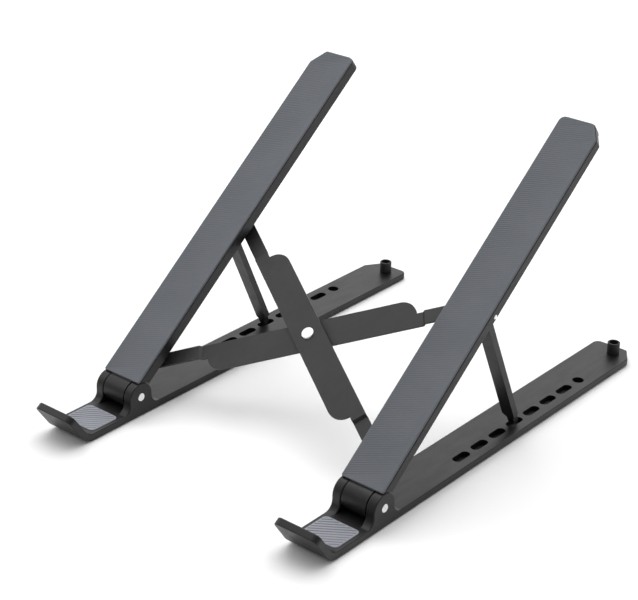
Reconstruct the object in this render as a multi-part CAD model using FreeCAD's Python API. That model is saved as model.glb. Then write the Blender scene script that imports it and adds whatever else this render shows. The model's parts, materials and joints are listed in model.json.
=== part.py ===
"""Folding aluminium laptop stand: two slotted base bars with front hooks, two padded support arms
on friction hinges, a strut under each arm, and a crossed pair of brace plates between the arms.

Millimetres, +X across the stand, +Y to the rear, +Z up. The origin is on the surface that the
stand rests on, under the middle of the whole stand. Shapes are made for the right side first, in a
frame whose zero is on the hinge axis at the middle of the bar, with +X pointing outwards. The left
side is its mirror image, except for the rest posts, which stand the same way on both bars.
"""
import FreeCAD
import Part
import math
import os

Vector = FreeCAD.Vector

# ---- driving dimensions: whole stand -------------------------------------------------------
arm_spacing = 149.7          # between the middles of the two bars, stand opened out
bar_width = 24.0             # width of the base bars and of the arms
base_reach = 209.4           # hinge axis to the rear end of a base bar
arm_length = 206.0           # hinge axis to the tip of an arm
tilt_angle = 37.9            # arms above the horizontal, struts in the fourth slot
foot_proud = 0.4             # rubber feet below the underside of the bars

# ---- base bar ------------------------------------------------------------------------------
bar_thickness = 3.64
bar_edge_round = 0.55
hinge_height = 10.0          # hinge axis above the underside of the bar
seat_length = 31.5           # hinge axis to where the hook starts to bend up
hook_bend_radius = 5.4       # inside of the bend
hook_bend_angle = 56.0
lip_length = 14.0            # straight part of the lip
lip_corner_radius = 3.2
outer_chamfer_across = 5.6   # cut corner at the rear of a bar and at the tip of an arm
outer_chamfer_along = 8.4
outer_corner_round = 1.8     # the two edges that the cut leaves
inner_corner_radius = 3.4

# ---- hinge ---------------------------------------------------------------------------------
ear_radius = 7.2
knuckle_width = 13.5
washer_thickness = 0.3       # friction washer between the knuckle and each ear
washer_side_gap = 0.06       # on each side of a friction washer
washer_radius = 5.6
ear_front_fillet = 4.6
ear_rear_fillet = 5.0
knuckle_clearance = 0.4      # between the ears and the arm that swings round them
hinge_pin_radius = 2.0
pin_dome = 0.25              # how far a pin end stands past the face
pin_chamfer = 0.2
running_fit = 0.05           # radial clearance of a turning pin

# ---- strut slots, rest post, feet and hook pad -----------------------------------------------
slot_count = 7               # long slots, then one round hole to their rear
slot_pitch = 14.35
slot_length = 10.9
foot_side_gap = 0.5          # between the strut's foot and each side of its slot
slot_from_side = 6.9         # row of slots, inwards from the outer side of the bar
slots_in_front = 3           # slots in front of the one that holds the foot
foot_in_slot = 1.3           # foot's tip in front of the middle of its slot
round_hole_radius = 2.9
round_hole_from_rear = 44.4
round_hole_to_slot = 13.0    # round hole to the middle of the rearmost slot
post_from_rear = 7.6
post_shift = 2.7             # both posts stand this far to +X of the middle of their bar
post_radius = 3.2
post_height = 6.3
post_bore_radius = 2.4
post_bore_depth = 4.2
post_edge_round = 0.25
screw_radius = 1.4
screw_head_radius = 2.6
screw_head_depth = 1.5
screw_recess = 0.3           # screw head above the underside of the bar
screw_proud = 0.6            # screw end above the floor of the post
screw_socket_radius = 1.3
screw_socket_depth = 0.7
rubber_foot_width = 19.0
rubber_foot_recess = 0.8
front_foot_from = -29.0      # short foot under the hook pad
front_foot_to = -11.0
rear_foot_from = 52.0        # long foot that closes the slots from below
rear_foot_from_end = 19.0
hook_pad_side_margin = 2.0
hook_pad_front_margin = 0.5  # behind the bend of the hook
hook_pad_rear_margin = 1.8   # in front of the ears
hook_pad_thickness = 1.0
hook_pad_proud = 0.4
pad_corner_radius = 2.4
pad_gap = 0.05               # between a pad or a foot and the sides of its recess

# ---- support arm ---------------------------------------------------------------------------
arm_top = 6.37               # top of the metal above the hinge axis, square to the arm
inner_wall_bottom = 0.85
outer_wall_bottom = 1.84
arm_edge_round = 0.35
arm_pad_thickness = 1.0
arm_pad_inset = 0.3
arm_pad_ear_gap = 0.2        # between the ears and the lower end of the pad
channel_ceiling = 5.4        # ceiling of the channel that takes the folded strut
channel_clearance = 0.3
channel_past_pin = 6.5       # channel beyond the strut pin, towards the hinge
channel_past_foot = 1.2      # channel beyond the foot of the folded strut
rivet_ledge = 2.1            # top of the ledge that holds the rivet heads
rivet_head_gap = 0.3         # around the head of the sliding rivet, in its track
rivet_neck_gap = 0.25        # around its neck, in the ledge below
track_from_tip = 26.9        # last place of the sliding rivet to the tip of the arm

# ---- strut ---------------------------------------------------------------------------------
strut_width = 6.8
strut_thickness = 3.4
strut_from_side = 4.3        # strut, inwards from the outer side of the arm
strut_pin_from_tip = 106.0   # strut pin to the tip of the arm
strut_pin_above = 3.1        # strut pin above the hinge axis, square to the arm
strut_pin_radius = 1.1
strut_pin_wall = 1.15        # between the strut pin and the rivet track
strut_eye_radius = 2.0
strut_foot_width = 3.6
strut_foot_length = 2.6
strut_shoulder = 1.9
strut_foot_gap = 0.4         # tip of the foot above its slot

# ---- crossed brace plates ------------------------------------------------------------------
plate_thickness = 1.2
plate_body_width = 15.2
plate_body_half = 53.6       # middle of the plate to the end of the wide part
tongue_width = 7.2
joggle_from_body = 3.2       # end of the wide part to the joggle
joggle_length = 1.2
brace_angle = 30.8           # line between a plate's two rivets, from the X axis
lower_rivet_along = 21.2     # lower rivets along the arms
rivet_from_side = 5.15       # rivets, outwards from the inner side of the arm
plate_a_top = -1.3           # top of the upper plate, below the hinge axis, square to the arms
centre_washer_thickness = 1.4    # between the two plates
centre_washer_gap = 0.14
centre_washer_radius = 4.6
centre_rivet_radius = 1.7
centre_head_radius = 3.1
centre_head_height = 0.75
centre_head_round = 0.5
centre_tail_radius = 2.7
rivet_radius = 1.55
rivet_shoulder_radius = 2.7
rivet_head_radius = 3.0
rivet_head_height = 1.5
rivet_tail_radius = 2.3
rivet_tail_height = 0.45
rivet_axial_gap = 0.25
rivet_overlap = 0.4          # how far a shank reaches into its own head and shoulder

# ---- worked out from the dimensions above ----------------------------------------------------
half_width = bar_width / 2
hook_outer_radius = hook_bend_radius + bar_thickness
bend = math.radians(hook_bend_angle)
lip_direction = Vector(0, -math.cos(bend), math.sin(bend))
lip_root = Vector(0, -seat_length - hook_outer_radius * math.sin(bend),
                  hook_outer_radius * (1 - math.cos(bend)))
lip_tip = lip_root + lip_direction * lip_length
front_end = lip_tip.y + bar_edge_round * (math.sin(bend) + math.cos(bend) - 1)
hinge_y = -(base_reach + front_end) / 2
hinge_z = foot_proud + hinge_height
half_knuckle = knuckle_width / 2
ear_gap = washer_thickness + 2 * washer_side_gap
ear_inner = half_knuckle + ear_gap
tilt = math.radians(tilt_angle)

slot_offset = half_width - slot_from_side
slot_width = strut_foot_width + 2 * foot_side_gap
round_hole_y = base_reach - round_hole_from_rear
last_slot_y = round_hole_y - round_hole_to_slot
foot_slot_y = last_slot_y - (slot_count - 1 - slots_in_front) * slot_pitch
post_y = base_reach - post_from_rear
hook_pad_front = -seat_length + hook_pad_front_margin
hook_pad_rear = -ear_radius - ear_front_fillet - hook_pad_rear_margin
pad_low_reach = ear_radius + arm_pad_ear_gap
arm_pad_start = math.sqrt(max(pad_low_reach ** 2 - arm_top ** 2, 0))

rivet_inset = half_width - rivet_from_side
rivet_track_width = 2 * (rivet_head_radius + rivet_head_gap)
rivet_neck_slot = 2 * (rivet_radius + rivet_neck_gap)
strut_offset = half_width - strut_from_side - strut_width / 2
strut_pin_along = arm_length - strut_pin_from_tip
strut_pin_inner = -rivet_inset + rivet_track_width / 2 + strut_pin_wall
pin_y = strut_pin_along * math.cos(tilt) - strut_pin_above * math.sin(tilt)
pin_z = hinge_height + strut_pin_along * math.sin(tilt) + strut_pin_above * math.cos(tilt)
foot_radius = strut_thickness / 2
foot_centre_z = bar_thickness + strut_foot_gap + foot_radius
foot_centre_y = foot_slot_y - foot_in_slot
strut_reach = math.hypot(foot_centre_y - pin_y, foot_centre_z - pin_z)
strut_angle = math.degrees(math.atan2(foot_centre_z - pin_z, foot_centre_y - pin_y))

rivet_x = arm_spacing / 2 - rivet_inset
plate_reach = rivet_x / math.cos(math.radians(brace_angle))
brace_rise = plate_reach * math.sin(math.radians(brace_angle))
brace_centre_along = lower_rivet_along + brace_rise
upper_rivet_along = lower_rivet_along + 2 * brace_rise
folded_rivet_along = arm_length - track_from_tip
folded_half_rise = (folded_rivet_along - lower_rivet_along) / 2
fold_angle = math.degrees(math.asin(min(folded_half_rise / plate_reach, 1))) - brace_angle
tongue_middle = (plate_body_width - tongue_width) / 2
rivet_along_plate = math.sqrt(plate_reach ** 2 - tongue_middle ** 2)
tongue_skew = math.degrees(math.asin(tongue_middle / plate_reach))
plate_b_top = plate_a_top - plate_thickness - centre_washer_thickness
tongue_top = (plate_a_top + plate_b_top) / 2


# ---- shape helpers -------------------------------------------------------------------------
def block(x0, x1, y0, y1, z0, z1):
    """Box between two opposite corners."""
    return Part.makeBox(x1 - x0, y1 - y0, z1 - z0, Vector(x0, y0, z0))


def rod(radius, length, start, axis):
    return Part.makeCylinder(radius, length, start, axis)


def upright(radius, z0, z1, x=0.0, y=0.0):
    """Cylinder along Z between two heights."""
    return rod(radius, z1 - z0, Vector(x, y, z0), Vector(0, 0, 1))


def cross_rod(radius, x0, x1, y=0.0, z=0.0):
    """Cylinder along X between two stations."""
    return rod(radius, x1 - x0, Vector(x0, y, z), Vector(1, 0, 0))


def face_of(edges):
    return Part.Face(Part.Wire(Part.__sortEdges__(edges)))


def line(a, b):
    return Part.LineSegment(a, b).toShape()


def arc(a, middle, b):
    return Part.Arc(a, middle, b).toShape()


def polygon(points):
    return Part.Face(Part.makePolygon(points + [points[0]]))


def stadium(x, y, length, width, z0, z1):
    """Slot shape along Y with round ends, between two heights."""
    radius = width / 2
    straight = (length - width) / 2
    body = block(x - radius, x + radius, y - straight, y + straight, z0, z1)
    ends = [upright(radius, z0, z1, x, y - straight), upright(radius, z0, z1, x, y + straight)]
    return body.multiFuse(ends).removeSplitter()


def rounded_plate(x0, x1, y0, y1, z0, z1, radius):
    """Flat plate with four equal round corners."""
    plate = block(x0, x1, y0, y1, z0, z1)
    corners = [e for e in plate.Edges if abs(e.Vertexes[0].Z - e.Vertexes[-1].Z) > 0.5 * (z1 - z0)]
    return plate.makeFillet(radius, corners)


def ended_plan(x0, x1, y0, y1, z0, z1, inset=0.0):
    """Plan of a bar: outer rear corner cut off, inner rear corner round, front end square."""
    across = outer_chamfer_across
    along = outer_chamfer_along
    radius = inner_corner_radius - inset
    quarter = radius * (1 - math.sqrt(0.5))
    a = Vector(x0, y0, z0)
    b = Vector(x1, y0, z0)
    c = Vector(x1, y1 - along, z0)
    d = Vector(x1 - across, y1, z0)
    e = Vector(x0 + radius, y1, z0)
    middle = Vector(x0 + quarter, y1 - quarter, z0)
    f = Vector(x0, y1 - radius, z0)
    edges = [line(a, b), line(b, c), line(c, d), line(d, e), arc(e, middle, f), line(f, a)]
    bar = face_of(edges).extrude(Vector(0, 0, z1 - z0))
    cut_edges = [edge for edge in bar.Edges if upright_at(edge, c) or upright_at(edge, d)]
    return bar.makeFillet(outer_corner_round, cut_edges)


def upright_at(edge, foot):
    """True for an edge that stands along Z on the given point."""
    low = edge.Vertexes[0].Point
    high = edge.Vertexes[-1].Point
    return all(math.hypot(end.x - foot.x, end.y - foot.y) < 1e-4 for end in (low, high))


def domed_pin(radius, x0, x1, y=0.0, z=0.0):
    """Pin along X whose two chamfered ends stand proud of the faces at x0 and x1."""
    pin = cross_rod(radius, x0 - pin_dome, x1 + pin_dome, y, z)
    rims = [e for e in pin.Edges if e.Closed]
    return pin.makeChamfer(pin_chamfer, rims)


def side_edges(shape, x_limit):
    """Edges that lie wholly on the planes x = x_limit and x = -x_limit."""
    found = []
    for edge in shape.Edges:
        box = edge.BoundBox
        if box.XLength < 1e-4 and abs(abs(box.XMin) - x_limit) < 1e-4:
            found.append(edge)
    return found


# ---- placing ---------------------------------------------------------------------------------
def set_down(shape, side, mirrored=True):
    """From the base frame (zero under the hinge axis, on the underside of the bar) to the stand."""
    placed = shape.copy()
    if side < 0 and mirrored:
        placed = placed.mirror(Vector(0, 0, 0), Vector(1, 0, 0))
    placed.translate(Vector(side * arm_spacing / 2, hinge_y, foot_proud))
    return placed


def tilt_up(shape):
    """From the arm frame (zero on the hinge axis, Y along the arm) about the hinge axis."""
    placed = shape.copy()
    placed.rotate(Vector(0, 0, 0), Vector(1, 0, 0), tilt_angle)
    return placed


def set_on_hinge(shape, side):
    """From the tilted arm frame of the right side to its place on either side."""
    placed = shape.copy()
    if side < 0:
        placed = placed.mirror(Vector(0, 0, 0), Vector(1, 0, 0))
    placed.translate(Vector(side * arm_spacing / 2, hinge_y, hinge_z))
    return placed


def set_in_brace(shape):
    """From the middle plane's arm frame to the stand."""
    placed = tilt_up(shape)
    placed.translate(Vector(0, hinge_y, hinge_z))
    return placed


# ---- base bar and what it carries --------------------------------------------------------------
def bar_blank():
    """Bar with its hook, before the ears and the holes."""
    turn = Vector(0, -seat_length, hook_outer_radius)

    def on_bend(radius, share):
        angle = share * bend
        return turn + Vector(0, -radius * math.sin(angle), -radius * math.cos(angle))

    normal = Vector(0, math.sin(bend), math.cos(bend))
    inner_root = on_bend(hook_bend_radius, 1)
    inner_tip = lip_tip + normal * bar_thickness
    rear_low = Vector(0, base_reach, 0)
    rear_high = Vector(0, base_reach, bar_thickness)
    edges = [
        line(rear_low, on_bend(hook_outer_radius, 0)),
        arc(on_bend(hook_outer_radius, 0), on_bend(hook_outer_radius, 0.5), lip_root),
        line(lip_root, lip_tip),
        line(lip_tip, inner_tip),
        line(inner_tip, inner_root),
        arc(inner_root, on_bend(hook_bend_radius, 0.5), on_bend(hook_bend_radius, 0)),
        line(on_bend(hook_bend_radius, 0), rear_high),
        line(rear_high, rear_low),
    ]
    profile = face_of(edges)
    profile.translate(Vector(-half_width, 0, 0))
    bar = profile.extrude(Vector(bar_width, 0, 0))
    tall = 2 * hook_outer_radius + lip_length
    plan = ended_plan(-half_width, half_width, lip_tip.y - 1, base_reach, -1, tall)
    bar = bar.common(plan)
    corners = []
    for edge in bar.Edges:
        box = edge.BoundBox
        at_tip = box.YMax < lip_root.y and box.ZMin > lip_tip.z - 0.01
        if at_tip and box.XLength < 1e-4 and abs(edge.Length - bar_thickness) < 0.01:
            corners.append(edge)
    return bar.makeFillet(lip_corner_radius, corners)


def ear():
    """One hinge ear, down into the bar, with its inner edge round."""
    front = -ear_radius - ear_front_fillet
    rear = ear_radius + ear_rear_fillet
    seat = bar_thickness
    dip = 1 - math.sqrt(0.5)
    a = Vector(0, front, 0.5 * bar_thickness)
    b = Vector(0, front, seat)
    b_mid = Vector(0, -ear_radius - dip * ear_front_fillet, seat + dip * ear_front_fillet)
    c = Vector(0, -ear_radius, seat + ear_front_fillet)
    d = Vector(0, -ear_radius, hinge_height)
    crown = Vector(0, 0, hinge_height + ear_radius)
    e = Vector(0, ear_radius, hinge_height)
    f = Vector(0, ear_radius, seat + ear_rear_fillet)
    f_mid = Vector(0, ear_radius + dip * ear_rear_fillet, seat + dip * ear_rear_fillet)
    g = Vector(0, rear, seat)
    h = Vector(0, rear, 0.5 * bar_thickness)
    edges = [line(a, b), arc(b, b_mid, c), line(c, d), arc(d, crown, e), line(e, f),
             arc(f, f_mid, g), line(g, h), line(h, a)]
    profile = face_of(edges)
    profile.translate(Vector(ear_inner, 0, 0))
    shape = profile.extrude(Vector(half_width - ear_inner, 0, 0))
    crown_edges = []
    for edge in shape.Edges:
        box = edge.BoundBox
        inner = box.XLength < 1e-4 and box.XMax < ear_inner + 0.01
        if inner and box.ZMax > seat + 0.1 and box.ZMin > seat - 0.01:
            crown_edges.append(edge)
    return shape.makeFillet(bar_edge_round, crown_edges)


def slot_centres():
    return [last_slot_y - i * slot_pitch for i in range(slot_count)]


def base_bar(post_x):
    bar = bar_blank()
    right_ear = ear()
    left_ear = right_ear.mirror(Vector(0, 0, 0), Vector(1, 0, 0))
    bar = bar.multiFuse([right_ear, left_ear]).removeSplitter()
    bar = bar.makeFillet(bar_edge_round, side_edges(bar, half_width))
    below = -1.0
    cuts = []
    relief = cross_rod(ear_radius + knuckle_clearance, -ear_inner, ear_inner, 0, hinge_height)
    cuts.append(relief)
    pin_hole = hinge_pin_radius + running_fit / 2
    cuts.append(cross_rod(pin_hole, -bar_width, bar_width, 0, hinge_height))
    for y in slot_centres():
        cuts.append(stadium(slot_offset, y, slot_length, slot_width, below, bar_thickness + 1))
    cuts.append(upright(round_hole_radius, below, bar_thickness + 1, slot_offset, round_hole_y))
    cuts.append(upright(screw_radius + running_fit, below, bar_thickness + 1, post_x, post_y))
    cuts.append(upright(screw_head_radius + running_fit, below, screw_head_depth, post_x, post_y))
    half_pad = half_width - hook_pad_side_margin
    recess_depth = hook_pad_thickness - hook_pad_proud
    cuts.append(rounded_plate(-half_pad, half_pad, hook_pad_front, hook_pad_rear,
                              bar_thickness - recess_depth, bar_thickness + 1, pad_corner_radius))
    half_foot = rubber_foot_width / 2
    for start, end in foot_spans():
        cuts.append(rounded_plate(-half_foot, half_foot, start, end, below, rubber_foot_recess,
                                  pad_corner_radius))
    return bar.cut(Part.makeCompound(cuts))


def foot_spans():
    """Front and rear ends of the two rubber feet under a bar."""
    return [(front_foot_from, front_foot_to), (rear_foot_from, base_reach - rear_foot_from_end)]


def rubber_feet():
    feet = []
    half = rubber_foot_width / 2 - pad_gap
    for start, end in foot_spans():
        foot = rounded_plate(-half, half, start + pad_gap, end - pad_gap, -foot_proud,
                             rubber_foot_recess, pad_corner_radius - pad_gap)
        feet.append(foot)
    return Part.makeCompound(feet)


def hook_pad():
    half = half_width - hook_pad_side_margin - pad_gap
    bottom = bar_thickness + hook_pad_proud - hook_pad_thickness
    return rounded_plate(-half, half, hook_pad_front + pad_gap, hook_pad_rear - pad_gap, bottom,
                         bar_thickness + hook_pad_proud, pad_corner_radius - pad_gap)


def hinge_pin():
    return domed_pin(hinge_pin_radius, -half_width, half_width, 0, hinge_height)


def hinge_washers():
    """Two friction washers, one on each side of the knuckle."""
    middle = half_knuckle + ear_gap / 2
    bore = hinge_pin_radius + running_fit
    pair = []
    for x in (-middle, middle):
        x0 = x - washer_thickness / 2
        x1 = x + washer_thickness / 2
        disc = cross_rod(washer_radius, x0, x1, 0, hinge_height)
        pair.append(disc.cut(cross_rod(bore, x0 - 1, x1 + 1, 0, hinge_height)))
    return Part.makeCompound(pair)


def rest_post(x):
    top = bar_thickness + post_height
    floor = top - post_bore_depth
    post = upright(post_radius, bar_thickness, top, x, post_y)
    rims = [e for e in post.Edges if e.Closed and e.BoundBox.ZMin > top - 0.01]
    post = post.makeFillet(post_edge_round, rims)
    post = post.cut(upright(post_bore_radius, floor, top + 1, x, post_y))
    return post.cut(upright(screw_radius, bar_thickness - 1, floor + 1, x, post_y))


def post_screw(x):
    """Countersunk from below, up through the bar and the floor of the post."""
    floor_top = bar_thickness + post_height - post_bore_depth
    shank = upright(screw_radius - running_fit, screw_recess, floor_top + screw_proud, x, post_y)
    head = upright(screw_head_radius, screw_recess, screw_head_depth - running_fit, x, post_y)
    socket = upright(screw_socket_radius, 0, screw_recess + screw_socket_depth, x, post_y)
    return shank.fuse(head).removeSplitter().cut(socket)


# ---- support arm -------------------------------------------------------------------------------
def support_arm():
    """Arm in its own frame: Y along the arm, Z square to it, zero on the hinge axis."""
    body = ended_plan(-half_width, half_width, 0, arm_length, inner_wall_bottom, arm_top)
    long_edges = []
    for edge in body.Edges:
        box = edge.BoundBox
        if box.ZLength < 1e-4 and box.ZMin > arm_top - 0.01 and box.YMax > 1.0:
            long_edges.append(edge)
    body = body.makeFillet(arm_edge_round, long_edges)
    shallow = block(strut_offset + strut_width / 2, bar_width, -1, arm_length + 1,
                    inner_wall_bottom - 1, outer_wall_bottom)
    swing = ear_radius + knuckle_clearance
    cuts = [shallow]
    for sign in (-1, 1):
        near = sign * half_knuckle
        far = sign * bar_width
        cuts.append(cross_rod(swing, min(near, far), max(near, far)))
    body = body.cut(Part.makeCompound(cuts))
    knuckle = cross_rod(ear_radius, -half_knuckle, half_knuckle)
    arm = body.fuse(knuckle).removeSplitter()

    cuts = [cross_rod(hinge_pin_radius + running_fit, -bar_width, bar_width)]
    channel_half = strut_width / 2 + channel_clearance
    channel_start = strut_pin_along - channel_past_pin
    channel_end = strut_pin_along + strut_reach + foot_radius + channel_past_foot
    cuts.append(block(strut_offset - channel_half, strut_offset + channel_half, channel_start,
                      channel_end, inner_wall_bottom - 2, channel_ceiling))
    cuts.append(cross_rod(strut_pin_radius + running_fit / 2, strut_pin_inner - 0.1, bar_width,
                          strut_pin_along, strut_pin_above))
    below = inner_wall_bottom - 1
    track_length = folded_rivet_along - upper_rivet_along
    track_middle = (folded_rivet_along + upper_rivet_along) / 2
    cuts.append(stadium(-rivet_inset, track_middle, track_length + rivet_track_width,
                        rivet_track_width, rivet_ledge, arm_top + 1))
    cuts.append(stadium(-rivet_inset, track_middle, track_length + rivet_neck_slot,
                        rivet_neck_slot, below, arm_top))
    cuts.append(upright(rivet_track_width / 2, rivet_ledge, arm_top + 1,
                        -rivet_inset, lower_rivet_along))
    cuts.append(upright(rivet_radius + running_fit, below, arm_top,
                        -rivet_inset, lower_rivet_along))
    return arm.cut(Part.makeCompound(cuts))


def arm_pad():
    return ended_plan(-half_width + arm_pad_inset, half_width - arm_pad_inset, arm_pad_start,
                      arm_length - arm_pad_inset, arm_top, arm_top + arm_pad_thickness,
                      arm_pad_inset)


def strut_pin():
    pin = cross_rod(strut_pin_radius, strut_pin_inner, half_width + pin_dome,
                    strut_pin_along, strut_pin_above)
    rim = [e for e in pin.Edges if e.Closed and e.BoundBox.XMin > half_width]
    return pin.makeChamfer(pin_chamfer, rim)


# ---- strut -------------------------------------------------------------------------------------
def strut():
    """Strut from its pin to its foot, with a narrow foot over the row of slots."""
    half = strut_width / 2
    foot_half = strut_foot_width / 2
    foot_x = slot_offset - strut_offset
    neck = strut_reach - strut_foot_length
    end = strut_reach + foot_radius
    outline = [
        Vector(-half, 0, -foot_radius),
        Vector(half, 0, -foot_radius),
        Vector(half, neck - 0.5 * strut_shoulder, -foot_radius),
        Vector(foot_x + foot_half, neck, -foot_radius),
        Vector(foot_x + foot_half, end, -foot_radius),
        Vector(foot_x - foot_half, end, -foot_radius),
        Vector(foot_x - foot_half, neck, -foot_radius),
        Vector(-half, neck - strut_shoulder, -foot_radius),
    ]
    bar = polygon(outline).extrude(Vector(0, 0, strut_thickness))
    side = block(-half, half, 0, strut_reach, -foot_radius, foot_radius)
    side = side.fuse(cross_rod(foot_radius, -half, half, strut_reach, 0)).removeSplitter()
    bar = bar.common(side)
    bar = bar.fuse(cross_rod(strut_eye_radius, -half, half)).removeSplitter()
    bar = bar.cut(cross_rod(strut_pin_radius + running_fit, -bar_width, bar_width))
    return swing_strut(bar)


def swing_strut(shape):
    """From the strut's own frame to the base frame, at the resting angle."""
    placed = shape.copy()
    placed.translate(Vector(strut_offset, 0, 0))
    placed.rotate(Vector(0, 0, 0), Vector(1, 0, 0), strut_angle)
    placed.translate(Vector(0, pin_y, pin_z - hinge_height))
    return placed


# ---- crossed brace plates ----------------------------------------------------------------------
def plate_plan(z0, z1):
    """Plan of a plate along X: a wide body, and a tongue at each end on opposite sides."""
    half = plate_body_width / 2
    step = half - tongue_width
    radius = plate_body_width - tongue_width
    quarter = radius * (1 - math.sqrt(0.5))
    tip_radius = tongue_width / 2
    shoulder = plate_body_half

    def turned(point):
        return Vector(-point.x, -point.y, point.z)

    a = Vector(-rivet_along_plate, -half, z0)
    b = Vector(shoulder - radius, -half, z0)
    b_mid = Vector(shoulder - quarter, -half + quarter, z0)
    c = Vector(shoulder, step, z0)
    d = Vector(rivet_along_plate, step, z0)
    d_mid = Vector(rivet_along_plate + tip_radius, step + tip_radius, z0)
    edges = [line(a, b), arc(b, b_mid, c), line(c, d), arc(d, d_mid, turned(a))]
    edges += [line(turned(a), turned(b)), arc(turned(b), turned(b_mid), turned(c)),
              line(turned(c), turned(d)), arc(turned(d), turned(d_mid), a)]
    return face_of(edges).extrude(Vector(0, 0, z1 - z0))


def brace_plate(top, hole_radius):
    """One plate in a frame along X, its top at the given height and its tongues at tongue_top."""
    start = plate_body_half + joggle_from_body
    end = start + joggle_length
    far = rivet_along_plate + tongue_width
    skyline = [Vector(-far, 0, tongue_top), Vector(-end, 0, tongue_top), Vector(-start, 0, top),
               Vector(start, 0, top), Vector(end, 0, tongue_top), Vector(far, 0, tongue_top)]
    drop = Vector(0, 0, -plate_thickness)
    underline = [point + drop for point in reversed(skyline)]
    band = polygon(skyline + underline)
    band.translate(Vector(0, -plate_body_width, 0))
    band = band.extrude(Vector(0, 2 * plate_body_width, 0))
    margin = 2 * plate_thickness
    plate = band.common(plate_plan(tongue_top - margin - plate_thickness, tongue_top + margin))
    low = tongue_top - margin - plate_thickness
    high = tongue_top + margin
    holes = [upright(hole_radius, low, high)]
    for sign in (-1, 1):
        holes.append(upright(rivet_radius, low, high,
                             sign * rivet_along_plate, sign * tongue_middle))
    return plate.cut(Part.makeCompound(holes))


def across_brace(shape, mirrored):
    """Turn a plate from along X to its diagonal. Mirrored gives the other diagonal."""
    placed = shape.copy()
    if mirrored:
        placed = placed.mirror(Vector(0, 0, 0), Vector(0, 1, 0))
        placed.rotate(Vector(0, 0, 0), Vector(0, 0, 1), brace_angle + tongue_skew)
    else:
        placed.rotate(Vector(0, 0, 0), Vector(0, 0, 1), -brace_angle - tongue_skew)
    placed.translate(Vector(0, brace_centre_along, 0))
    return set_in_brace(placed)


def centre_rivet():
    """Polished domed rivet at the crossing."""
    bottom = plate_b_top - plate_thickness
    head = upright(centre_head_radius, plate_a_top, plate_a_top + centre_head_height)
    rim = [e for e in head.Edges if e.Closed and e.BoundBox.ZMin > plate_a_top + 0.01]
    head = head.makeFillet(centre_head_round, rim)
    tail_top = bottom - running_fit
    shank = upright(centre_rivet_radius, tail_top - rivet_tail_height, plate_a_top)
    tail = upright(centre_tail_radius, tail_top - rivet_tail_height, tail_top)
    rivet = head.multiFuse([shank, tail]).removeSplitter()
    rivet.translate(Vector(0, brace_centre_along, 0))
    return set_in_brace(rivet)


def centre_washer():
    top = plate_a_top - plate_thickness
    bottom = top - centre_washer_thickness + centre_washer_gap
    washer = upright(centre_washer_radius, bottom, top)
    hole = upright(centre_rivet_radius + running_fit, top - 2 * centre_washer_thickness, top + 1)
    washer = washer.cut(hole)
    washer.translate(Vector(0, brace_centre_along, 0))
    return set_in_brace(washer)


def shoulder_rivet(x, along):
    """Rivet that carries a tongue below an arm; its head rides on the ledge inside the arm."""
    head_bottom = rivet_ledge + rivet_axial_gap
    shoulder_top = inner_wall_bottom - rivet_axial_gap
    tongue_bottom = tongue_top - plate_thickness
    parts = [
        upright(rivet_radius, shoulder_top - rivet_overlap, head_bottom + rivet_overlap),
        upright(rivet_shoulder_radius, tongue_top, shoulder_top),
        upright(rivet_radius - running_fit / 2, tongue_bottom - rivet_overlap,
                tongue_top + rivet_overlap),
        upright(rivet_tail_radius, tongue_bottom - rivet_tail_height, tongue_bottom),
    ]
    head = upright(rivet_head_radius, head_bottom, head_bottom + rivet_head_height)
    rivet = head.multiFuse(parts).removeSplitter()
    rivet.translate(Vector(x, along, 0))
    return set_in_brace(rivet)


# ---- build -------------------------------------------------------------------------------------
def make_side(name, side):
    """All pieces of one side, by node name."""
    post_x = side * post_shift
    nodes = {
        "base_bar": set_down(base_bar(post_x), side),
        "foot_pads": set_down(rubber_feet(), side),
        "hook_pad": set_down(hook_pad(), side),
        "hinge_pin": set_down(hinge_pin(), side),
        "hinge_washers": set_down(hinge_washers(), side),
        "rest_post": set_down(rest_post(post_x), side),
        "post_screw": set_down(post_screw(post_x), side),
        "support_arm": set_on_hinge(tilt_up(support_arm()), side),
        "arm_pad": set_on_hinge(tilt_up(arm_pad()), side),
        "strut_pin": set_on_hinge(tilt_up(strut_pin()), side),
        "strut": set_on_hinge(strut(), side),
        "brace_pivot": shoulder_rivet(side * rivet_x, lower_rivet_along),
        "brace_slider": shoulder_rivet(side * rivet_x, upper_rivet_along),
    }
    return {name + "_" + key: shape for key, shape in nodes.items()}


def make_stand():
    nodes = {}
    nodes.update(make_side("left", -1))
    nodes.update(make_side("right", 1))
    clear_hole = centre_rivet_radius + running_fit
    nodes["brace_plate_upper"] = across_brace(brace_plate(plate_a_top, centre_rivet_radius), False)
    nodes["brace_plate_lower"] = across_brace(brace_plate(plate_b_top, clear_hole), True)
    nodes["centre_rivet"] = centre_rivet()
    nodes["centre_washer"] = centre_washer()
    return nodes


def report(nodes):
    whole = Part.makeCompound(list(nodes.values())).BoundBox
    print("size", round(whole.XLength, 2), round(whole.YLength, 2), round(whole.ZLength, 2))
    print("low corner", round(whole.XMin, 3), round(whole.YMin, 3), round(whole.ZMin, 3))
    print("hinge axis y, z", round(hinge_y, 3), round(hinge_z, 3))
    print("strut angle", round(strut_angle, 2), "reach", round(strut_reach, 2))
    print("plate reach", round(plate_reach, 2), "brace centre", round(brace_centre_along, 2))
    print("fold angle", round(fold_angle, 2), "slider along arm", round(folded_rivet_along, 2))
    for name, shape in nodes.items():
        solids = shape.Solids
        state = "valid" if shape.isValid() else "NOT VALID"
        print(name, len(solids), "solids", round(sum(s.Volume for s in solids), 1), state)


os.makedirs("parts", exist_ok=True)
stand = make_stand()
for node, node_shape in stand.items():
    node_shape.exportStep("parts/" + node + ".step")
report(stand)
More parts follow.
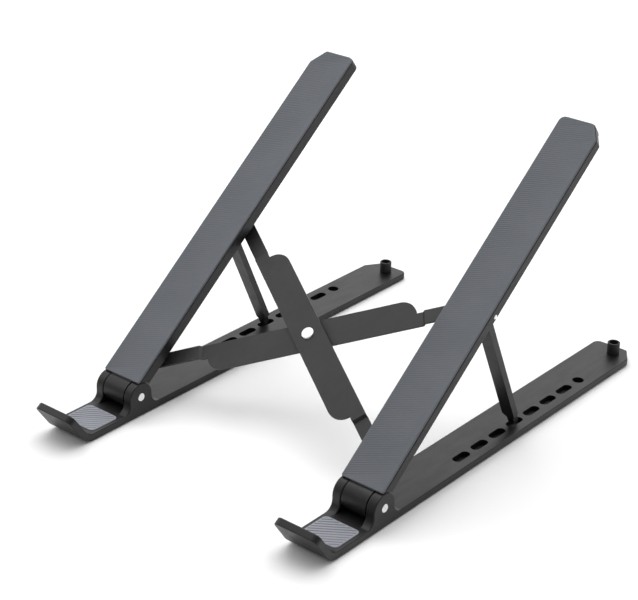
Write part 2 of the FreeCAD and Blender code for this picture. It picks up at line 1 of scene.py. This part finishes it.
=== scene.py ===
"""Laptop stand: materials, ribbed rubber pads, studio floor, light and camera."""
import bpy
import bmesh
import json
import math
from mathutils import Matrix, Vector

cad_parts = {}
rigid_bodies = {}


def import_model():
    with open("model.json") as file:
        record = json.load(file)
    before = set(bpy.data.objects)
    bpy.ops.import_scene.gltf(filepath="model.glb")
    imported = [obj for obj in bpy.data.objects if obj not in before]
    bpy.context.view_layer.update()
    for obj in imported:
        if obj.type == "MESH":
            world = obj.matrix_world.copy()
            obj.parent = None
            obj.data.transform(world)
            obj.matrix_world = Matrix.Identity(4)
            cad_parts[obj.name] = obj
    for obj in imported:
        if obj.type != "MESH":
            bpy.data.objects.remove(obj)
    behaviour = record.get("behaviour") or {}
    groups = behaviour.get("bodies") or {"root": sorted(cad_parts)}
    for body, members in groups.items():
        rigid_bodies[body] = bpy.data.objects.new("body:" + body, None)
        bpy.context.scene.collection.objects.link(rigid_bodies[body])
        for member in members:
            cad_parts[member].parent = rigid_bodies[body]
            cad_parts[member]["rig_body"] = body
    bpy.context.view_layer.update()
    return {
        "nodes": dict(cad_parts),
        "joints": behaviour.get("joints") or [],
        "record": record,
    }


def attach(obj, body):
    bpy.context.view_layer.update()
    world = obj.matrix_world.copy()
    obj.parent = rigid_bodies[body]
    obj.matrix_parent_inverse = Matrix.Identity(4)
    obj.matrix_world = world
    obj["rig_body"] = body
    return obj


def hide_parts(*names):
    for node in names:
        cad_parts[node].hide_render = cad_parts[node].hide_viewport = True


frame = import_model()

MM = 0.001
SIDES = {"left": -1, "right": 1}
UP = Vector((0, 0, 1))
ACROSS = Vector((1, 0, 0))
TO_THE_REAR = Vector((0, 1, 0))

# ---- pads, surroundings and camera, with lengths in metres -----------------------------------
TOP_TOLERANCE = 0.05 * MM    # points this near a pad's top belong to its outline
HULL_TOLERANCE = 1e-10       # a corner that turns less, in square metres, is left out
CUT_TOLERANCE = 1e-7         # a cut this near a point goes through it
LAST_CUT = 0.2               # share of a step that stays uncut at the far end of a pad
ARM_RIBS = {"pitch": 1.1 * MM, "depth": 0.10 * MM, "crest": 0.4, "steps": 6, "angle": 22}
ARM_RIM = {"width": 0.55 * MM, "drop": 0.45 * MM, "turns": 4, "land": 0.2}
HOOK_RIBS = {"pitch": 1.9 * MM, "depth": 0.38 * MM, "crest": 0.45, "steps": 8, "angle": 35}
HOOK_RIM = {"width": 0.8 * MM, "drop": 0.3 * MM, "turns": 4, "land": 0.35}
FLOOR_HALF = 12.0
FLOOR_GREYS = (0.93, 0.95)
SKY_DIRECTION = (-0.52, 0.73, 0.44)   # towards the brightest part of the surroundings
SKY_SPAN = (-0.2, 0.95)               # share of that direction from the dim to the bright end
SKY_STRENGTH = (0.36, 1.5)
CAMERA_DEGREES = (39.94, 25.9, 0.72)  # azimuth, elevation and roll
CAMERA_FROM_HINGE = -0.5176           # along Y, from the hinge axis
CAMERA_X = 0.4818
CAMERA_Z = 0.4262
CAMERA_LENS = 99.83
CAMERA_SENSOR = 36
CAMERA_SHIFT = -0.0008
CAMERA_CLIP = 0.01

# ---- places and directions read from the frame -----------------------------------------------
joints = {joint["name"]: joint for joint in frame["joints"]}
mounts = {mount["name"]: mount for mount in frame["record"]["mounts"]}
HINGE = Vector(joints["right_tilt"]["pos_m"])
ARM_UP = Vector(mounts["right_pad_face"]["axis"])
ARM_ALONG = Vector((0, ARM_UP.z, -ARM_UP.y))


# ---- materials -------------------------------------------------------------------------------
class Shader:
    """Small helper around one material's node tree."""

    def __init__(self, name, roughness, metallic=0.0, specular=0.5):
        self.material = bpy.data.materials.new(name)
        self.material.use_nodes = True
        self.tree = self.material.node_tree
        self.principled = self.tree.nodes["Principled BSDF"]
        self.principled.inputs["Roughness"].default_value = roughness
        self.principled.inputs["Metallic"].default_value = metallic
        self.principled.inputs["Specular IOR Level"].default_value = specular
        self.place = self.node("ShaderNodeTexCoord").outputs["Object"]

    def node(self, kind, **settings):
        made = self.tree.nodes.new(kind)
        for key, value in settings.items():
            setattr(made, key, value)
        return made

    def link(self, source, target):
        self.tree.links.new(source, target)

    def noise(self, scale, detail, roughness=0.5, stretch=None):
        """Noise of the given cells per metre. Stretch squeezes it along the axes."""
        noise = self.node("ShaderNodeTexNoise")
        noise.inputs["Scale"].default_value = scale
        noise.inputs["Detail"].default_value = detail
        noise.inputs["Roughness"].default_value = roughness
        source = self.place
        if stretch:
            mapping = self.node("ShaderNodeMapping")
            mapping.inputs["Scale"].default_value = stretch
            self.link(source, mapping.inputs["Vector"])
            source = mapping.outputs["Vector"]
        self.link(source, noise.inputs["Vector"])
        return noise.outputs["Fac"]

    def ramp(self, factor, low, high, first, second):
        """Blend of two colours, or two numbers as greys, between two levels of the factor."""
        ramp = self.node("ShaderNodeValToRGB")
        ends = ramp.color_ramp.elements
        for end, level, value in ((ends[0], low, first), (ends[1], high, second)):
            end.position = level
            end.color = (*value, 1) if isinstance(value, tuple) else (value, value, value, 1)
        self.link(factor, ramp.inputs["Fac"])
        return ramp.outputs["Color"]

    def multiply(self, first, second):
        mix = self.node("ShaderNodeMix", data_type="RGBA", blend_type="MULTIPLY")
        mix.inputs["Factor"].default_value = 1.0
        self.link(first, mix.inputs["A"])
        self.link(second, mix.inputs["B"])
        return mix.outputs["Result"]

    def bump(self, height, distance, strength):
        bump = self.node("ShaderNodeBump")
        bump.inputs["Distance"].default_value = distance
        bump.inputs["Strength"].default_value = strength
        self.link(height, bump.inputs["Height"])
        return bump.outputs["Normal"]

    def set(self, name, output):
        self.link(output, self.principled.inputs[name])


def anodised(name, dark, light, roughness, specular=0.5):
    """Bead-blasted, anodised aluminium: fine grain, faint clouds, slightly rubbed gloss."""
    shader = Shader(name, roughness, specular=specular)
    grain = shader.noise(9000, detail=2.0)
    clouds = shader.noise(55, detail=4.0, roughness=0.6)
    base = shader.ramp(clouds, 0.35, 0.68, dark, light)
    speckle = shader.ramp(grain, 0.3, 0.7, 0.8, 1.0)
    shader.set("Base Color", shader.multiply(base, speckle))
    rub = shader.noise(240, detail=5.0, roughness=0.65, stretch=(1.0, 0.22, 1.0))
    shader.set("Roughness", shader.ramp(rub, 0.3, 0.75, roughness - 0.05, roughness + 0.09))
    shader.set("Normal", shader.bump(grain, distance=0.02 * MM, strength=0.55))
    return shader.material


def ribbed_rubber(name, dark, light, painted_groove_shade, roughness=0.62):
    """Silicone pad: matte, with shade painted into the grooves between its ribs."""
    shader = Shader(name, roughness, specular=0.35)
    shader.principled.inputs["Sheen Weight"].default_value = 0.06
    shader.principled.inputs["Sheen Roughness"].default_value = 0.5
    grain = shader.noise(5200, detail=3.0)
    clouds = shader.noise(38, detail=4.0, roughness=0.55)
    base = shader.ramp(clouds, 0.32, 0.7, dark, light)
    speckle = shader.ramp(grain, 0.25, 0.75, 0.9, 1.0)
    depth = shader.node("ShaderNodeAttribute", attribute_name="groove").outputs["Fac"]
    # painted shade: the base colour darkens with each groove's depth, as shade would fall in it
    shade = shader.ramp(depth, 0.1, 0.9, 1.0, painted_groove_shade)
    shader.set("Base Color", shader.multiply(shader.multiply(base, speckle), shade))
    shader.set("Roughness", shader.ramp(clouds, 0.3, 0.7, roughness - 0.05, roughness + 0.08))
    shader.set("Normal", shader.bump(grain, distance=0.03 * MM, strength=0.5))
    return shader.material


def black_rubber(name, grey):
    """Matte black rubber, slightly lighter in patches."""
    shader = Shader(name, 0.6, specular=0.4)
    grain = shader.noise(4200, detail=4.0)
    clouds = shader.noise(160, detail=3.0)
    shader.set("Base Color", shader.ramp(clouds, 0.35, 0.7, grey, 1.5 * grey))
    shader.set("Roughness", shader.ramp(clouds, 0.3, 0.7, 0.52, 0.68))
    shader.set("Normal", shader.bump(grain, distance=0.04 * MM, strength=0.6))
    return shader.material


def polished_steel(name, grey, roughness):
    """Turned steel with fine scratches."""
    shader = Shader(name, roughness, metallic=1.0)
    scratches = shader.noise(2600, detail=6.0, roughness=0.7, stretch=(1.0, 0.08, 1.0))
    stains = shader.noise(700, detail=3.0)
    shader.set("Base Color", shader.ramp(stains, 0.3, 0.7, 0.8 * grey, grey))
    shader.set("Roughness", shader.ramp(scratches, 0.3, 0.75, roughness, roughness + 0.16))
    shader.set("Normal", shader.bump(scratches, distance=0.008 * MM, strength=0.35))
    return shader.material


def black_nylon(name):
    """Moulded black nylon with faint flow marks."""
    shader = Shader(name, 0.5, specular=0.45)
    flow = shader.noise(900, detail=3.0)
    shader.set("Base Color", shader.ramp(flow, 0.3, 0.7, 0.012, 0.022))
    shader.set("Normal", shader.bump(flow, distance=0.02 * MM, strength=0.4))
    return shader.material


METAL = anodised("anodised_black", 0.004, 0.007, roughness=0.4, specular=0.37)
PLATE = anodised("plate_coat", 0.010, 0.015, roughness=0.46)
# the last number sets how dark the painted shade at the bottom of each pad's grooves is
ARM_RUBBER = ribbed_rubber("arm_rubber", (0.109, 0.118, 0.132), (0.133, 0.142, 0.158),
                           painted_groove_shade=0.87)
HOOK_RUBBER = ribbed_rubber("hook_rubber", (0.25, 0.26, 0.30), (0.30, 0.31, 0.35),
                            painted_groove_shade=0.34, roughness=0.55)
FOOT_RUBBER = black_rubber("foot_rubber", 0.008)
POST_RUBBER = black_rubber("post_rubber", 0.008)
BRIGHT_STEEL = polished_steel("pin_steel", 0.95, roughness=0.28)
PLAIN_STEEL = polished_steel("rivet_steel", 0.30, roughness=0.34)
NYLON = black_nylon("washer_nylon")

FINISHES = {
    "base_metal": METAL,
    "arm_metal": METAL,
    "strut_metal": METAL,
    "plate_metal": PLATE,
    "arm_rubber": ARM_RUBBER,
    "hook_rubber": HOOK_RUBBER,
    "foot_rubber": FOOT_RUBBER,
    "post_rubber": POST_RUBBER,
    "pin_steel": BRIGHT_STEEL,
    "centre_steel": BRIGHT_STEEL,
    "rivet_steel": PLAIN_STEEL,
    "washer_steel": PLAIN_STEEL,
    "screw_steel": PLAIN_STEEL,
    "washer_plastic": NYLON,
}


def paint(item, material):
    item.data.materials.clear()
    item.data.materials.append(material)


def paint_cad():
    """Every CAD node gets the material of its slot in the record."""
    for row in frame["record"]["subparts"]:
        paint(frame["nodes"][row["node"]], FINISHES[row["material_slot"]])


# ---- ribbed pads -----------------------------------------------------------------------------
def plan_of(node, origin, along, up):
    """Top outline of a flat CAD pad, as (x, distance along) points, with its two heights."""
    flat = []
    for vertex in frame["nodes"][node].data.vertices:
        place = vertex.co - origin
        flat.append((place.x, place.dot(along), place.dot(up)))
    low = min(point[2] for point in flat)
    high = max(point[2] for point in flat)
    top = {(round(x, 6), round(y, 6)) for x, y, z in flat if high - z < TOP_TOLERANCE}
    return convex_hull(sorted(top)), low, high


def convex_hull(points):
    """Counter-clockwise hull of sorted points."""
    def chain(run):
        hull = []
        for point in run:
            while len(hull) > 1 and turn(hull[-2], hull[-1], point) < HULL_TOLERANCE:
                hull.pop()
            hull.append(point)
        return hull[:-1]
    return [Vector(point) for point in chain(points) + chain(points[::-1])]


def turn(a, b, c):
    """Twice the area of a triangle, above zero where a, b, c run counter-clockwise."""
    return (b[0] - a[0]) * (c[1] - a[1]) - (b[1] - a[1]) * (c[0] - a[0])


def inset(outline, distance):
    """A convex outline moved inwards by a distance."""
    moved = []
    for i, here in enumerate(outline):
        before = (here - outline[i - 1]).normalized()
        after = (outline[(i + 1) % len(outline)] - here).normalized()
        inwards = Vector((-before.y - after.y, before.x + after.x)) / (1 + before.dot(after))
        moved.append(here + inwards * distance)
    return moved


def nearest_on(outline, point):
    """The closest point of an outline."""
    best = None
    for i, end in enumerate(outline):
        start = outline[i - 1]
        run = end - start
        share = max(0.0, min(1.0, (point - start).dot(run) / run.length_squared))
        place = start + run * share
        if best is None or (place - point).length < (best - point).length:
            best = place
    return best


def ribbed_pad(name, outline, thickness, ribs, rim):
    """Pad on z = 0 with straight ribs across its top and a round rim.

    The top face is cut along every rib line, and its points are then lowered into grooves.
    """
    mesh = bmesh.new()
    field = inset(outline, rim["width"])
    corners = [mesh.verts.new((point.x, point.y, thickness)) for point in field]
    face = mesh.faces.new(corners)
    angle = math.radians(ribs["angle"])
    across = Vector((-math.sin(angle), math.cos(angle)))
    reach = [point.dot(across) for point in field]
    step = ribs["pitch"] / ribs["steps"]
    offset = min(reach) + step
    while offset < max(reach) - LAST_CUT * step:
        plane = across * offset
        cut = bmesh.ops.bisect_plane(mesh, geom=[face, *face.edges, *face.verts],
                                     dist=CUT_TOLERANCE, plane_co=(*plane, 0),
                                     plane_no=(*across, 0))
        faces = [item for item in cut["geom"] if isinstance(item, bmesh.types.BMFace)]
        face = max(faces, key=lambda item: item.calc_center_median().xy.dot(across))
        offset += step
    groove_layer = mesh.verts.layers.float.new("groove")
    for vertex in mesh.verts:
        share = (vertex.co.xy.dot(across) - min(reach)) / ribs["pitch"] % 1.0
        vertex[groove_layer] = groove(share, ribs["crest"])
        vertex.co.z -= ribs["depth"] * vertex[groove_layer]
    close_rim(mesh, outline, thickness, rim)
    for face in mesh.faces:
        face.smooth = True
    data = bpy.data.meshes.new(name)
    mesh.to_mesh(data)
    mesh.free()
    return data


def groove(share, crest):
    """Depth across one pitch, from 0 on the crest to 1 in the groove."""
    if share < crest:
        return 0.0
    return 0.5 - 0.5 * math.cos(2 * math.pi * (share - crest) / (1 - crest))


def close_rim(mesh, outline, thickness, rim):
    """Closes the pad below its ribbed top.

    The grooves end at a narrow land, which rolls over the rim and goes down to z = 0.
    """
    loop = [edge for edge in mesh.edges if edge.is_boundary]
    homes = {}
    for edge in loop:
        for vertex in edge.verts:
            homes[vertex] = (vertex.co.copy(), nearest_on(outline, vertex.co.xy))
    groove_layer = mesh.verts.layers.float["groove"]
    land = rim["land"]
    levels = [(land, thickness)]
    for i in range(1, rim["turns"] + 1):
        bend = 0.5 * math.pi * i / rim["turns"]
        share = land + (1 - land) * math.sin(bend)
        levels.append((share, thickness - rim["drop"] * (1 - math.cos(bend))))
    levels.append((1.0, 0.0))
    for share, height in levels:
        made = bmesh.ops.extrude_edge_only(mesh, edges=loop)["geom"]
        loop = [item for item in made if isinstance(item, bmesh.types.BMEdge) and item.is_boundary]
        fresh = [item for item in made if isinstance(item, bmesh.types.BMVert)]
        parents = {}
        for vertex in fresh:
            for edge in vertex.link_edges:
                other = edge.other_vert(vertex)
                if other in homes:
                    parents[vertex] = homes[other]
        for vertex, (home, goal) in parents.items():
            flat = home.xy + (goal - home.xy) * share
            vertex.co = (flat.x, flat.y, height)
            vertex[groove_layer] = 0.0
        homes = parents
    bmesh.ops.edgeloop_fill(mesh, edges=loop)
    bmesh.ops.recalc_face_normals(mesh, faces=mesh.faces)


def fit_pad(node, origin, along, up, ribs, rim, slot):
    """Detailed pad in the place of a flat CAD pad, on the same body."""
    outline, low, high = plan_of(node, origin, along, up)
    data = ribbed_pad(node + "_ribbed", outline, high - low, ribs, rim)
    turned = Matrix((ACROSS, along, up)).transposed().to_4x4()
    data.transform(Matrix.Translation(origin + up * low) @ turned)
    pad = bpy.data.objects.new(node + "_ribbed", data)
    bpy.context.scene.collection.objects.link(pad)
    paint(pad, FINISHES[slot])
    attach(pad, frame["nodes"][node]["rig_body"])
    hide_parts(node)


def make_pads():
    for side, sign in SIDES.items():
        middle = Vector((sign * HINGE.x, HINGE.y, HINGE.z))
        fit_pad(side + "_arm_pad", middle, ARM_ALONG, ARM_UP, ARM_RIBS, ARM_RIM, "arm_rubber")
        fit_pad(side + "_hook_pad", middle, TO_THE_REAR, UP, HOOK_RIBS, HOOK_RIM, "hook_rubber")


# ---- floor, light and camera -----------------------------------------------------------------
def make_floor():
    data = bpy.data.meshes.new("floor")
    half = FLOOR_HALF
    data.from_pydata([(-half, -half, 0), (half, -half, 0), (half, half, 0), (-half, half, 0)],
                     [], [(0, 1, 2, 3)])
    floor = bpy.data.objects.new("floor", data)
    bpy.context.scene.collection.objects.link(floor)
    shader = Shader("floor", 0.75, specular=0.2)
    haze = shader.noise(3, detail=2.0)
    shader.set("Base Color", shader.ramp(haze, 0.3, 0.7, *FLOOR_GREYS))
    paint(floor, shader.material)


def soft_light(name, place, target, size, power):
    """Rectangular light aimed at a target, with its power in watts."""
    data = bpy.data.lights.new(name, "AREA")
    data.shape = "RECTANGLE"
    data.size, data.size_y = size
    data.energy = power
    light = bpy.data.objects.new(name, data)
    light.location = place
    light.rotation_euler = (Vector(target) - Vector(place)).to_track_quat("-Z", "Y").to_euler()
    bpy.context.scene.collection.objects.link(light)


def make_studio():
    """White surroundings, brightest behind the stand, and soft lights above and at the left."""
    world = bpy.data.worlds.new("studio")
    bpy.context.scene.world = world
    world.use_nodes = True
    nodes = world.node_tree.nodes
    links = world.node_tree.links
    towards = nodes.new("ShaderNodeTexCoord").outputs["Generated"]
    facing = nodes.new("ShaderNodeVectorMath")
    facing.operation = "DOT_PRODUCT"
    facing.inputs[1].default_value = SKY_DIRECTION
    level = nodes.new("ShaderNodeMapRange")
    for name, span in (("From", SKY_SPAN), ("To", SKY_STRENGTH)):
        level.inputs[name + " Min"].default_value = span[0]
        level.inputs[name + " Max"].default_value = span[1]
    links.new(towards, facing.inputs[0])
    links.new(facing.outputs["Value"], level.inputs["Value"])
    background = nodes["Background"]
    background.inputs["Color"].default_value = (1, 1, 1, 1)
    links.new(level.outputs["Result"], background.inputs["Strength"])
    soft_light("overhead", place=(-0.15, 0.25, 1.3), target=(0, 0, 0), size=(1.4, 1.4), power=8.4)
    soft_light("left_fill", place=(-1.2, -0.5, 0.7), target=(0, 0, 0.05), size=(0.8, 0.8),
               power=2.5)
    bpy.context.scene.view_settings.view_transform = "Standard"


def make_camera():
    """Long lens in front of the right side, looking down at the stand."""
    azimuth, elevation, roll = (math.radians(value) for value in CAMERA_DEGREES)
    back = Vector((math.sin(azimuth) * math.cos(elevation),
                   -math.cos(azimuth) * math.cos(elevation), math.sin(elevation)))
    right = Vector((math.cos(azimuth), math.sin(azimuth), 0))
    up = back.cross(right)
    rolled_right = math.cos(roll) * right + math.sin(roll) * up
    rolled_up = math.cos(roll) * up - math.sin(roll) * right
    data = bpy.data.cameras.new("camera")
    data.sensor_width = CAMERA_SENSOR
    data.lens = CAMERA_LENS
    data.shift_x = CAMERA_SHIFT
    data.clip_start = CAMERA_CLIP
    camera = bpy.data.objects.new("camera", data)
    turned = Matrix((rolled_right, rolled_up, back)).transposed().to_4x4()
    place = (CAMERA_X, HINGE.y + CAMERA_FROM_HINGE, CAMERA_Z)
    camera.matrix_world = Matrix.Translation(place) @ turned
    bpy.context.scene.collection.objects.link(camera)
    bpy.context.scene.camera = camera


paint_cad()
make_pads()
make_floor()
make_studio()
make_camera()
